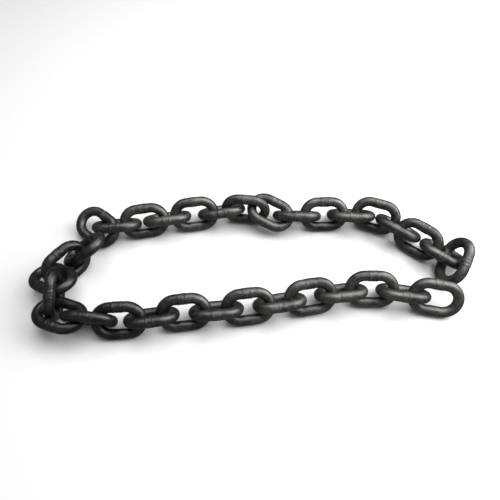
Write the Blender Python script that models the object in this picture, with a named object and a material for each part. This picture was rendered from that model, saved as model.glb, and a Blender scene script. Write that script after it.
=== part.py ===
"""A length of short-link lifting chain, laid out on the floor in one long open loop.

Every link is a closed round bar bent to a stadium: two straight sides and two half-round crowns.
The chain lies loose. In its straight rows the links lean left and right in turn, as a chain does
when it is laid down, each with one bar on the floor. At the two ends of the loop and at one place
in the far row the chain is slack, and there the links ride up on each other. Each link is
threaded through the link before it, with its bar a hair off that link's bar.

The model is in metres. Layout sizes are given in millimetres times MM. +Z is up, the floor is at
z = 0 and the origin is on the floor, under the middle of the chain.
"""

import math
from dataclasses import dataclass

import bpy
import numpy as np
from mathutils import Matrix, Vector

MM = 0.001

# The link, as short-link lifting chain is sized: a 10 mm bar and a 30 mm pitch
BAR_RADIUS = 5 * MM
PITCH = 30 * MM
INSIDE_WIDTH = 16 * MM

CROWN_RADIUS = INSIDE_WIDTH / 2 + BAR_RADIUS
HALF_STRAIGHT = PITCH / 2 + BAR_RADIUS - CROWN_RADIUS

# The bar is drawn as a ten-sided figure, turned so that a flat faces the floor
BEVEL_RESOLUTION = 3
BAR_SIDES = 4 + 2 * BEVEL_RESOLUTION
BAR_APOTHEM = BAR_RADIUS * math.cos(math.pi / BAR_SIDES)
CROWN_STEPS = 8

# How far the links of a row lean over, in degrees: one opens towards the front and the next is
# seen on its edge
FRONT_OPEN = -53
FRONT_EDGE = 44
BACK_OPEN = 56
BACK_EDGE = -41

ROUTE_SAMPLES = 200


@dataclass(frozen=True)
class Lay:
    """How one link lies: where its middle is over the floor, in millimetres, and how it is turned.

    The lean is the turn about the link's long axis, the heading is the way that axis points in
    plan and the pitch is how far it rises, all in degrees. A link with no heading of its own points
    from the link before it to the link after it. The lift is how far the link is held off the
    floor by the links that it lies on, in millimetres.
    """

    x: float
    y: float
    lean: float
    heading: float | None = None
    pitch: float = 0
    lift: float = 0


@dataclass(frozen=True)
class Row:
    """Links that lie evenly along a smooth curve through the route's points, in millimetres.

    The leans are those of the row's first link and of its second, and they go on in turn.
    """

    count: int
    route: tuple
    leans: tuple


# The chain from the free end at the front right, along the front row, round the left end and back
# along the far row to the other free end. The slack links are turned one by one
CHAIN = (
    Row(10, ((168, -63), (112, -54), (56, -62), (-1, -72), (-59, -78), (-87, -82)),
        (FRONT_OPEN, FRONT_EDGE)),
    Lay(-115, -86, lean=FRONT_OPEN),
    Lay(-140.5, -85.5, lean=71, heading=176, pitch=3),
    Lay(-166.5, -82, lean=13, heading=161, pitch=-1, lift=10.5),
    Lay(-175, -63, lean=95, heading=88, pitch=32),
    Lay(-182, -44.5, lean=11, heading=149, pitch=-15, lift=7),
    Lay(-174, -27, lean=62, heading=52, pitch=2),
    Lay(-160.5, -10.5, lean=-24, heading=13, pitch=32),
    Lay(-155, 21.5, lean=25, heading=-36, pitch=-6),
    Row(2, ((-135, 22), (-107, 26)), (BACK_EDGE, BACK_OPEN)),
    Row(2, ((-85, 31), (-57, 35)), (BACK_EDGE, BACK_OPEN)),
    Lay(-29.5, 40, lean=BACK_EDGE, heading=9, pitch=4),
    Lay(-4.5, 39.5, lean=82, heading=-5, pitch=-1),
    Lay(21, 36.5, lean=12, heading=-24, pitch=-12, lift=6.5),
    Lay(48, 34, lean=-47),
    Row(2, ((76, 35), (104, 35.5)), (BACK_OPEN, BACK_EDGE)),
    Lay(129, 33, lean=BACK_OPEN),
    Lay(149.5, 18.8, lean=BACK_EDGE),
    Lay(166, 3, lean=BACK_OPEN),
    Lay(188, -13, lean=-35, heading=-34, pitch=-5),
    Lay(193.5, -25.5, lean=50, heading=-117, pitch=-25),
)

STEEL_COLOR = (0.035, 0.034, 0.032, 1.0)
STEEL_ROUGHNESS = 0.45


def row_places(row):
    """Return the places of a row's links, evenly spaced on a smooth curve through its route."""
    corners = np.array(row.route, dtype=float)
    slopes = np.gradient(corners, axis=0)
    position = np.linspace(0, len(corners) - 1, ROUTE_SAMPLES)
    span = np.minimum(position.astype(int), len(corners) - 2)
    part = (position - span)[:, None]
    curve = (
        (1 + 2 * part) * (1 - part) ** 2 * corners[span]
        + part * (1 - part) ** 2 * slopes[span]
        + part**2 * (3 - 2 * part) * corners[span + 1]
        - part**2 * (1 - part) * slopes[span + 1]
    )
    steps = np.linalg.norm(np.diff(curve, axis=0), axis=1)
    lengths = np.concatenate(([0], np.cumsum(steps)))
    stations = np.linspace(0, lengths[-1], row.count)
    return [[float(np.interp(station, lengths, curve[:, axis])) for axis in range(2)]
            for station in stations]


def lay_out():
    """Return how every link of the chain lies, with the rows worked out link by link."""
    lays = []
    for stretch in CHAIN:
        if isinstance(stretch, Lay):
            lays.append(stretch)
            continue
        for index, (x, y) in enumerate(row_places(stretch)):
            lays.append(Lay(x, y, stretch.leans[index % 2]))
    return lays


def link_centerline():
    """Return the corner points of a link's bar, along its middle, in the link's own frame."""
    points = []
    for end in (1, -1):
        for step in range(CROWN_STEPS + 1):
            angle = math.pi * (step / CROWN_STEPS - 0.5)
            x = HALF_STRAIGHT + CROWN_RADIUS * math.cos(angle)
            y = CROWN_RADIUS * math.sin(angle)
            points.append(Vector((end * x, end * y, 0)))
    return points


def heading_of(lays, index):
    """Return the way the long axis of a link points in plan, in degrees."""
    if lays[index].heading is not None:
        return lays[index].heading
    before = lays[max(index - 1, 0)]
    after = lays[min(index + 1, len(lays) - 1)]
    return math.degrees(math.atan2(after.y - before.y, after.x - before.x))


def link_matrix(lays, index):
    """Return the matrix that takes a link from its own frame, long axis on X, to its place."""
    lay = lays[index]
    turn = (
        Matrix.Rotation(math.radians(heading_of(lays, index)), 4, "Z")
        @ Matrix.Rotation(math.radians(-lay.pitch), 4, "Y")
        @ Matrix.Rotation(math.radians(lay.lean), 4, "X")
    )
    lowest = min((turn @ point).z for point in link_centerline())
    rest = BAR_RADIUS if lay.pitch else BAR_APOTHEM
    height = rest + lay.lift * MM - lowest
    return Matrix.Translation((lay.x * MM, lay.y * MM, height)) @ turn


def link_matrices():
    """Return every link's matrix, with the origin under the middle of the chain."""
    lays = lay_out()
    matrices = [link_matrix(lays, index) for index in range(len(lays))]
    points = [matrix @ point for matrix in matrices for point in link_centerline()]
    middle = [
        (min(point[axis] for point in points) + max(point[axis] for point in points)) / 2
        for axis in range(2)
    ]
    return [Matrix.Translation((-middle[0], -middle[1], 0)) @ matrix for matrix in matrices]


def flat_tilt(matrix):
    """Return the tilt of the bar's section that turns one of its flats to the floor."""
    return -math.atan2(abs(matrix[2][1]), matrix[2][2])


def make_material():
    """Return the dark, oxide-skinned steel of the links."""
    material = bpy.data.materials.new("blackened_steel")
    material.use_nodes = True
    shader = material.node_tree.nodes["Principled BSDF"]
    shader.inputs["Base Color"].default_value = STEEL_COLOR
    shader.inputs["Roughness"].default_value = STEEL_ROUGHNESS
    shader.inputs["Metallic"].default_value = 1.0
    material.diffuse_color = STEEL_COLOR
    return material


def make_link(name, matrix, material, collection):
    """Add one link as a closed curve with a round bevel, laid where the matrix says."""
    curve = bpy.data.curves.new(name, "CURVE")
    curve.dimensions = "3D"
    curve.twist_mode = "Z_UP"
    curve.bevel_depth = BAR_RADIUS
    curve.bevel_resolution = BEVEL_RESOLUTION
    corners = link_centerline()
    spline = curve.splines.new("POLY")
    spline.points.add(len(corners) - 1)
    for point, corner in zip(spline.points, corners):
        point.co = (*corner, 1)
        point.tilt = flat_tilt(matrix)
    spline.use_cyclic_u = True
    spline.use_smooth = True
    curve.materials.append(material)
    link = bpy.data.objects.new(name, curve)
    link.matrix_world = matrix
    collection.objects.link(link)


def main():
    """Clear the scene and lay out the chain."""
    for scene_object in list(bpy.data.objects):
        bpy.data.objects.remove(scene_object)
    collection = bpy.data.collections.new("lifting_chain")
    bpy.context.scene.collection.children.link(collection)
    material = make_material()
    for number, matrix in enumerate(link_matrices(), start=1):
        make_link(f"link_{number:02d}", matrix, material, collection)


main()
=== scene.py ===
"""The looks of a length of short-link lifting chain, laid out on the floor in a long open loop.

Every link of the fixed frame is replaced by a finely made one: a round bar bent to a stadium, with
the swelling and the two raised edges of its weld half way along one side, and the uneven skin of
rolled and tempered steel. A link is placed by the long, wide and thin ways of the solid that it
stands for, with its weld on the side that lies higher. The finish is a black oxide skin with a
soft sheen, procedural throughout.

Lengths are in metres. MM turns millimetres into metres.
"""

from __future__ import annotations

import logging
import math
from dataclasses import dataclass, field
from enum import Enum

import bmesh
import bpy
import numpy as np
from mathutils import Matrix, Vector

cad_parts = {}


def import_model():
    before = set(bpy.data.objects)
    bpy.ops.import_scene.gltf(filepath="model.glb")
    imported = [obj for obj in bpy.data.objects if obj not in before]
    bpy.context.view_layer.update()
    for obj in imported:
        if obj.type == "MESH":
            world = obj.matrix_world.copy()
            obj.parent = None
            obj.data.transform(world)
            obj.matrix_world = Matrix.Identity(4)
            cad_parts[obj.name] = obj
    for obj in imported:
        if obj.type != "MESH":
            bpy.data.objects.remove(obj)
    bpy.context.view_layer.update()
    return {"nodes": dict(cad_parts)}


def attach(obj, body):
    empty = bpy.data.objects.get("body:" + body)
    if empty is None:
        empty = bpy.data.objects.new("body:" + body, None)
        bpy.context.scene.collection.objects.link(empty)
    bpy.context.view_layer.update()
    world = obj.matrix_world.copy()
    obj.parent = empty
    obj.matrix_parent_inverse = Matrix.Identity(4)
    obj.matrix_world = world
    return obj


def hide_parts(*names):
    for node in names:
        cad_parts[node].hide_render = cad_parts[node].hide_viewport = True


LOG = logging.getLogger("lifting_chain")
MM = 0.001
BODY = "root"

Color = tuple[float, float, float, float]
Triple = tuple[float, float, float]
Pair = tuple[float, float]


class Operation(Enum):
    """The Math node's operations that the finishes use."""

    ADD = "ADD"
    SUBTRACT = "SUBTRACT"
    MULTIPLY = "MULTIPLY"
    MINIMUM = "MINIMUM"


@dataclass(frozen=True)
class Term:
    """A shader socket that Python's arithmetic turns into Math nodes."""

    shader: Shader
    socket: bpy.types.NodeSocket

    def combine(self, operation: Operation, first: Term | float, second: Term | float) -> Term:
        """Join two terms with one Math node.

        Args:
            operation: What the node does.
            first: The left side, a term or a number.
            second: The right side, a term or a number.

        Returns:
            The term of the node's output.
        """
        return self.shader.node(
            "ShaderNodeMath", {"operation": operation.value}, {0: first, 1: second}
        )

    def __add__(self, other: Term | float) -> Term:
        """Return this term plus another."""
        return self.combine(Operation.ADD, self, other)

    def __radd__(self, other: float) -> Term:
        """Return a number plus this term."""
        return self.combine(Operation.ADD, other, self)

    def __sub__(self, other: Term | float) -> Term:
        """Return this term minus another."""
        return self.combine(Operation.SUBTRACT, self, other)

    def __rsub__(self, other: float) -> Term:
        """Return a number minus this term."""
        return self.combine(Operation.SUBTRACT, other, self)

    def __mul__(self, other: Term | float) -> Term:
        """Return this term times another."""
        return self.combine(Operation.MULTIPLY, self, other)

    def __rmul__(self, other: float) -> Term:
        """Return a number times this term."""
        return self.combine(Operation.MULTIPLY, other, self)

    def at_most(self, limit: float) -> Term:
        """Return the smaller of this term and a limit."""
        return self.combine(Operation.MINIMUM, self, limit)

    def ramp(self, span: Pair) -> Term:
        """Rise smoothly from 0 to 1 along a span of this term.

        Args:
            span: The value that gives 0 and the value that gives 1.

        Returns:
            The term of the smooth step.
        """
        low, high = span
        return self.shader.node(
            "ShaderNodeMapRange",
            {"interpolation_type": "SMOOTHSTEP"},
            {"Value": self, "From Min": low, "From Max": high},
        )


@dataclass(frozen=True)
class Noise:
    """A fractal noise: its cells to the metre, its octaves and how strong each finer one is."""

    scale: float
    detail: float
    roughness: float


@dataclass(frozen=True)
class Mark:
    """A mark that follows a noise: how much of it shows, and the span in which it fades in."""

    share: float
    span: Pair

    def on(self, noise: Term) -> Term:
        """Return how much of the mark shows along a noise."""
        return self.share * noise.ramp(self.span)


@dataclass
class Shader:
    """A material's node tree, with one way to add a node to it."""

    material: bpy.types.Material

    @classmethod
    def named(cls, name: str) -> Shader:
        """Make a new material with an empty node tree.

        Args:
            name: The material's name.

        Returns:
            The shader of the new material.
        """
        material = bpy.data.materials.new(name)
        material.use_nodes = True
        material.node_tree.nodes.clear()
        return cls(material)

    def node(self, kind: str, settings: dict, values: dict, output: str | int = 0) -> Term:
        """Add a node, set it up and fill its inputs.

        Args:
            kind: The node's type.
            settings: The node's properties, set before its inputs.
            values: Its inputs by name or number, each a term, a number or a tuple.
            output: The output that the term stands for.

        Returns:
            The term of the chosen output.
        """
        node = self.material.node_tree.nodes.new(kind)
        for name, setting in settings.items():
            setattr(node, name, setting)
        for key, value in values.items():
            if isinstance(value, Term):
                self.material.node_tree.links.new(value.socket, node.inputs[key])
            else:
                node.inputs[key].default_value = value
        return Term(self, node.outputs[output])

    def place(self) -> Term:
        """Return the point's place in the object's own coordinates."""
        return self.node("ShaderNodeTexCoord", {}, {}, "Object")

    def attribute(self, name: str, output: str = "Fac") -> Term:
        """Return one of the mesh's own attributes."""
        return self.node("ShaderNodeAttribute", {"attribute_name": name}, {}, output)

    def part(self, vector: Term, axis: str) -> Term:
        """Return one part of a vector term, by the letter of its axis."""
        return self.node("ShaderNodeSeparateXYZ", {}, {"Vector": vector}, axis)

    def scaled(self, vector: Term, factors: Triple) -> Term:
        """Return a vector term with each part multiplied by its own number."""
        return self.node(
            "ShaderNodeVectorMath", {"operation": "MULTIPLY"}, {0: vector, 1: factors}
        )

    def noise(self, vector: Term, noise: Noise) -> Term:
        """Add a fractal noise.

        Args:
            vector: Where the noise is read.
            noise: Its scale, octaves and roughness.

        Returns:
            The term of the noise, from 0 to 1.
        """
        return self.node(
            "ShaderNodeTexNoise",
            {},
            {
                "Vector": vector,
                "Scale": noise.scale,
                "Detail": noise.detail,
                "Roughness": noise.roughness,
            },
        )

    def mixed(self, share: Term, first: Term | Color, second: Term | Color) -> Term:
        """Blend two colours.

        Args:
            share: How much of the second one shows.
            first: The colour at 0.
            second: The colour at 1.

        Returns:
            The term of the blended colour.
        """
        return self.node(
            "ShaderNodeMix", {"data_type": "RGBA"}, {0: share, 6: first, 7: second}, 2
        )

    def bumped(self, height: Term, distance: float) -> Term:
        """Turn a height into a normal.

        Args:
            height: The height, from 0 to 1.
            distance: How far the surface rises where the height is 1.

        Returns:
            The term of the bumped normal.
        """
        return self.node(
            "ShaderNodeBump",
            {},
            {"Height": height, "Distance": distance, "Strength": 1.0},
            "Normal",
        )

    def finish(self, values: dict) -> bpy.types.Material:
        """Close the tree with a Principled shader.

        Args:
            values: The Principled shader's inputs.

        Returns:
            The finished material.
        """
        surface = self.node("ShaderNodeBsdfPrincipled", {}, values)
        tree = self.material.node_tree
        output = tree.nodes.new("ShaderNodeOutputMaterial")
        tree.links.new(surface.socket, output.inputs["Surface"])
        return self.material


@dataclass(frozen=True)
class OxideSkin:
    """The black skin that rolled and tempered steel keeps, with its weld and its rubbed places.

    The front left corner of the loop is painted darker, a painted shade for the lesser light there,
    and is made glossier. Both fade out along the sum of X and Y. The crowns are rubbed bare on
    their inner side. The drawing lines are a fine noise that is stretched along the bar.
    """

    name: str = "black_oxide_skin"

    # Colours
    dark: Color = (0.048, 0.050, 0.053, 1.0)
    pale: Color = (0.205, 0.203, 0.190, 1.0)
    brown: Color = (0.13, 0.112, 0.092, 1.0)
    weld_scale: Color = (0.16, 0.16, 0.155, 1.0)
    bare: Color = (0.40, 0.39, 0.37, 1.0)
    # Painted shade: the near-black that the front left corner of the loop is mixed towards
    painted_corner_shade: Color = (0.010, 0.011, 0.014, 1.0)

    # Noises
    clouds: Noise = Noise(38.0, 3.0, 0.55)
    mottle: Noise = Noise(240.0, 4.0, 0.6)
    grain: Noise = Noise(1500.0, 3.0, 0.6)
    lines: Noise = Noise(800.0, 3.0, 0.6)
    dents: Noise = Noise(110.0, 2.0, 0.5)
    line_stretch: Triple = (1.0, 1.0, 0.07)

    # How much paler each noise makes the skin
    pale_clouds: Mark = Mark(0.45, (0.38, 0.66))
    pale_mottle: Mark = Mark(0.3, (0.38, 0.66))
    pale_lines: Mark = Mark(0.25, (0.4, 0.68))

    # The brown, where the clouds and the mottling are both strong
    brown_share: float = 0.25
    brown_clouds: Pair = (0.54, 0.7)
    brown_mottle: Pair = (0.46, 0.64)

    # The pale scale round the weld
    weld_reach: Pair = (2.2 * MM, 3.8 * MM)
    weld_share: float = 0.7
    weld_mottle: Pair = (0.42, 0.6)

    # The painted shade of the front left corner, and its fade along the sum of X and Y
    corner_shade_share: float = 0.6
    corner_shade_fades: Pair = (-220 * MM, -20 * MM)

    # The bare steel on the rubbed crowns and in the nicks
    worn_all_over: float = 0.2
    worn_lines: Mark = Mark(0.8, (0.36, 0.6))
    worn_share: float = 0.5
    nick_share: float = 0.35
    nick_mottle: Pair = (0.66, 0.74)
    nick_lines: Pair = (0.5, 0.6)

    # Roughness, and what each mark adds to it or takes from it
    smooth: float = 0.38
    coarse: float = 0.52
    coarse_mottle: Pair = (0.32, 0.68)
    grain_roughness: float = 0.03
    weld_roughness: float = 0.05
    bare_gloss: float = 0.06
    corner_gloss: float = 0.10
    metallic: float = 0.9

    # The height of the relief, and each noise's share in it
    relief: float = 0.1 * MM
    dent_relief: float = 0.35
    mottle_relief: float = 0.3
    line_relief: float = 0.2
    grain_relief: float = 0.08

    def build(self) -> bpy.types.Material:
        """Make the material of the links.

        Returns:
            The finished material.
        """
        shader = Shader.named(self.name)
        place = shader.place()
        bar = shader.attribute("bar_space", "Vector")
        from_weld = shader.attribute("from_weld")
        rub = shader.attribute("rub")

        clouds = shader.noise(place, self.clouds)
        mottle = shader.noise(place, self.mottle)
        grain = shader.noise(place, self.grain)
        lines = shader.noise(shader.scaled(bar, self.line_stretch), self.lines)
        dents = shader.noise(place, self.dents)
        weld = 1.0 - from_weld.ramp(self.weld_reach)
        # Painted shade and gloss: 1 at the front left corner of the loop, fading along X plus Y
        corner = shader.part(place, "X") + shader.part(place, "Y")
        corner_shade_and_gloss = 1.0 - corner.ramp(self.corner_shade_fades)

        tone = self.pale_clouds.on(clouds) + self.pale_mottle.on(mottle) + self.pale_lines.on(lines)
        skin = shader.mixed(tone, self.dark, self.pale)
        browned = clouds.ramp(self.brown_clouds) * mottle.ramp(self.brown_mottle)
        skin = shader.mixed(self.brown_share * browned, skin, self.brown)
        scaled = self.weld_share * weld * mottle.ramp(self.weld_mottle)
        skin = shader.mixed(scaled, skin, self.weld_scale)
        # Painted shade: the skin darkens towards near-black at the front left corner
        skin = shader.mixed(self.corner_shade_share * corner_shade_and_gloss, skin, self.painted_corner_shade)
        worn = rub * (self.worn_all_over + self.worn_lines.on(lines))
        nicks = mottle.ramp(self.nick_mottle) * lines.ramp(self.nick_lines)
        shine = (worn * self.worn_share + nicks * self.nick_share).at_most(1.0)
        color = shader.mixed(shine, skin, self.bare)

        roughness = (
            self.smooth
            + (self.coarse - self.smooth) * mottle.ramp(self.coarse_mottle)
            + self.grain_roughness * grain
            + self.weld_roughness * weld
            - self.bare_gloss * shine
            - self.corner_gloss * corner_shade_and_gloss
        )
        relief = (
            dents * self.dent_relief
            + mottle * self.mottle_relief
            + lines * self.line_relief
            + grain * self.grain_relief
        )
        return shader.finish(
            {
                "Base Color": color,
                "Roughness": roughness,
                "Metallic": self.metallic,
                "Normal": shader.bumped(relief, self.relief),
            }
        )


@dataclass(frozen=True)
class Weld:
    """The butt weld of one link: a low swelling between two raised edges.

    The swelling and the edge are scales of the bar's section. The points across an edge say how
    many edge widths they lie from it and how much of a rise they have: the outer points and the
    inner point have a share of the edge's, and the shoulder has a share of the swelling's. The
    crest is the share of the half length in which the swelling is full.
    """

    shift: float = 0.0
    half_length: float = 3.1 * MM
    swelling: float = 1.045
    edge: float = 1.065
    edge_width: float = 0.45 * MM
    outer_points: tuple[Pair, ...] = ((3.2, 0.0), (1.6, 0.2), (0.7, 0.85))
    inner_point: Pair = (0.8, 0.75)
    shoulder: Pair = (1.8, 0.6)
    crest: float = 0.35
    lumps: float = 0.09 * MM
    seed: int = 1


@dataclass
class LinkShape:
    """One link of the chain, on its side: its long way on X, its wide way on Y, welded at +Y.

    The bends are those of the nominal bar. The bar itself is drawn a little thinner, so that round
    links clear each other where their faceted solids do.
    """

    nominal_radius: float = 5 * MM
    bar_radius: float = 4.87 * MM
    pitch: float = 30 * MM
    inside_width: float = 16 * MM
    bar_sides: int = 36
    crown_steps: int = 28
    far_side_steps: int = 6
    merge_distance: float = 0.01 * MM
    ring_tolerance: float = 0.02 * MM
    rub_start: float = 6 * MM
    rub_length: float = 6 * MM
    unevenness: float = 0.08 * MM
    wave_size: float = 9 * MM
    crown_radius: float = field(init=False)
    half_straight: float = field(init=False)

    def __post_init__(self) -> None:
        """Work out the bends from the pitch and the inside width."""
        self.crown_radius = self.inside_width / 2 + self.nominal_radius
        self.half_straight = self.pitch / 2 + self.nominal_radius - self.crown_radius

    def weld_stations(self, weld: Weld) -> list[Pair]:
        """Say where the welded side gets its rings, and how much each one swells.

        Args:
            weld: The weld's sizes.

        Returns:
            The rings' places along the side, from its middle, and the scale of each.
        """
        half = weld.half_length
        edge_rise = weld.edge - 1.0
        inner_widths, inner_rise = weld.inner_point
        shoulder_widths, shoulder_rise = weld.shoulder
        rising = [
            (-self.half_straight, 1.0),
            *(
                (-half - widths * weld.edge_width, 1.0 + edge_rise * rise)
                for widths, rise in weld.outer_points
            ),
            (-half, weld.edge),
            (-half + inner_widths * weld.edge_width, 1.0 + edge_rise * inner_rise),
            (
                -half + shoulder_widths * weld.edge_width,
                1.0 + (weld.swelling - 1.0) * shoulder_rise,
            ),
            (-half * weld.crest, weld.swelling),
        ]
        falling = [(-place, scale) for place, scale in reversed(rising)]
        return rising + falling

    def model(self, name: str, weld: Weld) -> bpy.types.Object:
        """Model the link: a ring of the bar is drawn along both sides and spun round both crowns.

        Args:
            name: The object's name.
            weld: The weld's sizes.

        Returns:
            The link, on its side at the origin.
        """
        stations = self.weld_stations(weld)
        start = (self.half_straight, self.crown_radius, 0.0)
        bpy.ops.object.select_all(action="DESELECT")
        bpy.ops.mesh.primitive_circle_add(
            vertices=self.bar_sides,
            radius=self.bar_radius,
            fill_type="NOTHING",
            location=start,
            rotation=(0.0, math.pi / 2, 0.0),
        )
        link = bpy.context.object
        link.name = name
        link.data.name = name
        bpy.ops.object.transform_apply(location=True, rotation=True, scale=True)
        bpy.ops.object.mode_set(mode="EDIT")
        bpy.ops.mesh.select_all(action="SELECT")
        for (place, _), (following, _) in zip(stations, stations[1:]):
            self.draw(place - following)
        self.spin((-self.half_straight, 0.0, 0.0))
        for _ in range(self.far_side_steps):
            self.draw(2 * self.half_straight / self.far_side_steps)
        self.spin((self.half_straight, 0.0, 0.0))
        bpy.ops.mesh.select_all(action="SELECT")
        bpy.ops.mesh.remove_doubles(threshold=self.merge_distance)
        bpy.ops.mesh.normals_make_consistent(inside=False)
        self.swell(link, stations, weld)
        bpy.ops.object.mode_set(mode="OBJECT")
        self.mark(link, weld)
        self.roughen(link)
        return link

    def draw(self, distance: float) -> None:
        """Extrude the selected ring along the side by a distance."""
        bpy.ops.mesh.extrude_region_move(TRANSFORM_OT_translate={"value": (distance, 0.0, 0.0)})

    def spin(self, center: Triple) -> None:
        """Spin the selected ring half way round a crown's centre."""
        bpy.ops.mesh.spin(
            steps=self.crown_steps, angle=math.pi, center=center, axis=(0.0, 0.0, -1.0)
        )

    def swell(self, link: bpy.types.Object, stations: list[Pair], weld: Weld) -> None:
        """Widen the rings of the welded side, and make the weld's own rings uneven.

        Args:
            link: The link, in edit mode.
            stations: The rings' places and scales.
            weld: The weld's sizes.
        """
        for number, (place, scale) in enumerate(stations):
            if scale == 1.0:
                continue
            mesh = bmesh.from_edit_mesh(link.data)
            for vertex in mesh.verts:
                at_place = abs(vertex.co.x - place) < self.ring_tolerance
                vertex.select_set(vertex.co.y > 0 and at_place)
            mesh.select_flush_mode()
            bmesh.update_edit_mesh(link.data)
            bpy.ops.transform.resize(
                value=(1.0, scale, scale), center_override=(place, self.crown_radius, 0.0)
            )
            bpy.ops.transform.vertex_random(
                offset=weld.lumps, uniform=1.0, normal=0.0, seed=weld.seed + number
            )

    def mark(self, link: bpy.types.Object, weld: Weld) -> None:
        """Store what the finish follows: the place in the bar, the distance to the weld, the wear.

        Args:
            link: The modelled link.
            weld: The weld's sizes.
        """
        mesh = link.data
        points = np.empty(len(mesh.vertices) * 3, dtype=np.float32)
        mesh.vertices.foreach_get("co", points)
        points = points.reshape(-1, 3).astype(float)
        past = np.maximum(np.abs(points[:, 0]) - self.half_straight, 0.0)
        side = np.sign(points[:, 1])
        radial = np.hypot(past, points[:, 1])
        bend = np.arctan2(past, np.abs(points[:, 1]))
        straight = np.minimum(np.abs(points[:, 0]), self.half_straight)
        quarter = self.half_straight + self.crown_radius * math.pi / 2
        along = straight + self.crown_radius * bend
        from_weld = np.where(side >= 0, along, 2 * quarter - along)
        outward = radial - self.crown_radius
        bar_space = np.column_stack((outward, points[:, 2], from_weld))
        inner = np.clip(-outward / self.bar_radius, 0.0, 1.0)
        rub = np.clip((past - self.rub_start) / self.rub_length, 0.0, 1.0) * inner**2
        mesh.attributes.new("bar_space", "FLOAT_VECTOR", "POINT").data.foreach_set(
            "vector", bar_space.astype(np.float32).ravel()
        )
        for name, values in (
            ("from_weld", np.abs(from_weld - weld.shift)),
            ("rub", rub),
        ):
            mesh.attributes.new(name, "FLOAT", "POINT").data.foreach_set(
                "value", values.astype(np.float32)
            )

    def roughen(self, link: bpy.types.Object) -> None:
        """Give the bar the slight waviness of forged steel, with a fine Displace modifier.

        Args:
            link: The marked link.
        """
        waves = bpy.data.textures.new(f"{link.name}_waves", "CLOUDS")
        waves.noise_scale = self.wave_size
        waves.noise_depth = 1
        modifier = link.modifiers.new("unevenness", "DISPLACE")
        modifier.texture = waves
        modifier.texture_coords = "LOCAL"
        modifier.strength = self.unevenness
        modifier.mid_level = 0.5
        bpy.context.view_layer.objects.active = link
        bpy.ops.object.modifier_apply(modifier=modifier.name)
        bpy.ops.object.shade_smooth()


@dataclass(frozen=True)
class LinkPlace:
    """Where one link of the frame lies: its middle and its long, wide and thin ways."""

    middle: np.ndarray
    ways: np.ndarray

    @classmethod
    def of_node(cls, node: bpy.types.Object) -> LinkPlace:
        """Find a link's place from its solid, by the directions in which it is longest and widest.

        Args:
            node: The solid of the link.

        Returns:
            The link's place, with the side that lies higher on +Y.
        """
        points = np.empty(len(node.data.vertices) * 3, dtype=np.float32)
        node.data.vertices.foreach_get("co", points)
        points = points.reshape(-1, 3).astype(float)
        # A corner that several faces share counts once
        points = np.unique(points.round(7), axis=0)
        middle = points.mean(axis=0)
        _, ways = np.linalg.eigh(np.cov((points - middle).T))
        long_way, wide_way = ways[:, 2], ways[:, 1]
        if long_way[0] < 0:
            long_way = -long_way
        if wide_way[2] < 0:
            wide_way = -wide_way
        return cls(middle, np.column_stack((long_way, wide_way, np.cross(long_way, wide_way))))

    def matrix(self) -> Matrix:
        """Return the matrix that lays a link that is on its side at the origin in this place."""
        placed = Matrix([list(row) for row in self.ways]).to_4x4()
        placed.translation = Vector(self.middle)
        return placed


@dataclass
class Chain:
    """All the links of the chain, each one laid where its solid is.

    The links are copies of a few kinds that differ in their weld. One copy in every few is turned
    end for end, and each copy has its drawing lines moved on by one more step.
    """

    nodes: dict
    shape: LinkShape = field(default_factory=LinkShape)
    skin: OxideSkin = field(default_factory=OxideSkin)
    welds: tuple[Weld, ...] = (
        Weld(seed=11),
        Weld(shift=0.5 * MM, half_length=2.7 * MM, swelling=1.055, edge=1.06, seed=37),
        Weld(shift=-0.4 * MM, half_length=3.4 * MM, swelling=1.035, edge=1.07, seed=53),
        Weld(shift=0.2 * MM, half_length=3.0 * MM, swelling=1.05, edge=1.06, seed=71),
    )
    turned_every: int = 3
    grain_step: float = 0.137

    def build(self) -> list[bpy.types.Object]:
        """Model the kinds of link once, and lay a copy in the place of every solid.

        Returns:
            The finished links.
        """
        material = self.skin.build()
        kinds = [
            self.shape.model(f"kind_{number}", weld) for number, weld in enumerate(self.welds)
        ]
        links = []
        for number, name in enumerate(sorted(self.nodes)):
            kind = kinds[number % len(kinds)]
            links.append(self.lay(kind, name, number, material))
        for kind in kinds:
            bpy.data.objects.remove(kind)
        return links

    def lay(
        self, kind: bpy.types.Object, name: str, number: int, material: bpy.types.Material
    ) -> bpy.types.Object:
        """Copy a link into the place of one solid, which it replaces.

        Args:
            kind: The link to copy.
            name: The solid's name.
            number: The link's place in the chain.
            material: The finish.

        Returns:
            The laid link.
        """
        mesh = kind.data.copy()
        if number % self.turned_every == 1:
            mesh.transform(Matrix.Rotation(math.pi, 4, "Y"))
        mesh.transform(LinkPlace.of_node(self.nodes[name]).matrix())
        self.shift_grain(mesh, number)
        mesh.materials.clear()
        mesh.materials.append(material)
        link = bpy.data.objects.new(f"forged_{name}", mesh)
        mesh.name = link.name
        bpy.context.scene.collection.objects.link(link)
        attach(link, BODY)
        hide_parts(name)
        return link

    def shift_grain(self, mesh: bpy.types.Mesh, number: int) -> None:
        """Give a copy drawing lines of its own, by moving where the finish reads them.

        Args:
            mesh: The copy's mesh.
            number: The link's place in the chain.
        """
        grain = mesh.attributes["bar_space"].data
        places = np.empty(len(grain) * 3, dtype=np.float32)
        grain.foreach_get("vector", places)
        grain.foreach_set("vector", places + np.float32(number * self.grain_step))


@dataclass(frozen=True)
class AreaLight:
    """A soft light that faces the chain: its place, its power in watts, its width and depth."""

    name: str
    location: Triple
    power: float
    size: Pair


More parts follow.
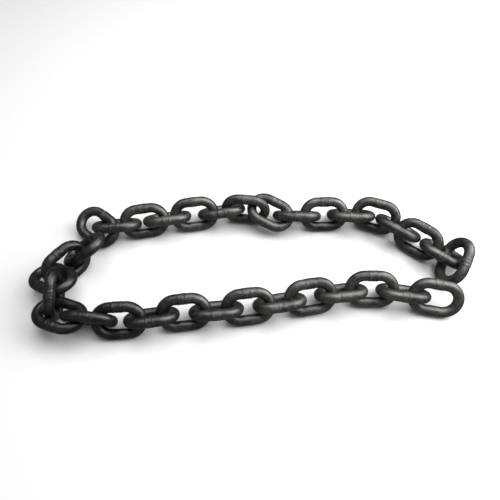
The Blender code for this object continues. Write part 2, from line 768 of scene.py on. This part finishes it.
@dataclass
class Studio:
    """A pale floor, soft lights and the camera.

    A large light hangs over the back of the chain, and a smaller one lower at the right. The
    elevation of the camera is in degrees, and its lens and sensor are in millimetres.
    """

    target: Triple = (-2.7 * MM, 23.5 * MM, 0.0)
    elevation: float = 54.5
    distance: float = 467 * MM
    lens: float = 33.2
    sensor: float = 36.0
    floor_size: float = 12.0
    floor_drop: float = 0.25 * MM
    floor_color: Color = (0.92, 0.92, 0.92, 1.0)
    floor_roughness: float = 0.9
    surroundings: Color = (1.0, 1.0, 1.0, 1.0)
    surroundings_strength: float = 0.2
    lights: tuple[AreaLight, ...] = (
        AreaLight("overhead", (0.15, 0.2, 1.0), 11.0, (1.4, 0.9)),
        AreaLight("right_side", (0.6, 0.1, 0.45), 6.0, (0.6, 0.6)),
    )

    def build(self) -> None:
        """Set up the floor, the world, the lights and the camera."""
        self.add_floor()
        self.add_world()
        for light in self.lights:
            self.add_light(light)
        self.add_camera()

    def add_floor(self) -> None:
        """Lay a plain pale floor just under the chain."""
        bpy.ops.object.select_all(action="DESELECT")
        bpy.ops.mesh.primitive_plane_add(
            size=self.floor_size, location=(0.0, 0.0, -self.floor_drop)
        )
        floor = bpy.context.object
        floor.name = "floor"
        bpy.ops.object.transform_apply(location=True, rotation=True, scale=True)
        shader = Shader.named("pale_floor")
        floor.data.materials.append(
            shader.finish({"Base Color": self.floor_color, "Roughness": self.floor_roughness})
        )
        floor.visible_glossy = False

    def add_world(self) -> None:
        """Give the surroundings an even, weak light, and show colours as they are."""
        world = bpy.data.worlds.new("studio")
        world.use_nodes = True
        background = world.node_tree.nodes["Background"]
        background.inputs["Color"].default_value = self.surroundings
        background.inputs["Strength"].default_value = self.surroundings_strength
        bpy.context.scene.world = world
        bpy.context.scene.view_settings.view_transform = "Standard"

    def add_light(self, light: AreaLight) -> None:
        """Hang one area light, turned to the chain.

        Args:
            light: The light's place, power and size.
        """
        lamp = bpy.data.lights.new(light.name, "AREA")
        lamp.shape = "RECTANGLE"
        lamp.size, lamp.size_y = light.size
        lamp.energy = light.power
        hung = bpy.data.objects.new(light.name, lamp)
        hung.location = light.location
        hung.rotation_euler = (-Vector(light.location)).to_track_quat("-Z", "Y").to_euler()
        bpy.context.scene.collection.objects.link(hung)

    def add_camera(self) -> None:
        """Place the camera at the photograph's viewing angle."""
        lens = bpy.data.cameras.new("camera")
        lens.lens = self.lens
        lens.sensor_width = self.sensor
        camera = bpy.data.objects.new("camera", lens)
        angle = math.radians(self.elevation)
        aim = Vector((0.0, math.cos(angle), -math.sin(angle)))
        camera.location = Vector(self.target) - self.distance * aim
        camera.rotation_euler = aim.to_track_quat("-Z", "Y").to_euler()
        bpy.context.scene.collection.objects.link(camera)
        bpy.context.scene.camera = camera


def main() -> None:
    """Dress the frame, light it, and log each piece's triangles and how many links are laid."""
    logging.basicConfig(level=logging.INFO, format="%(name)s: %(message)s")
    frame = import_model()
    links = Chain(frame["nodes"]).build()
    for link in links:
        triangles = sum(len(polygon.vertices) - 2 for polygon in link.data.polygons)
        LOG.info("%s: %d triangles", link.name, triangles)
    LOG.info("links laid: %d", len(links))
    Studio().build()


if __name__ == "__main__":
    main()
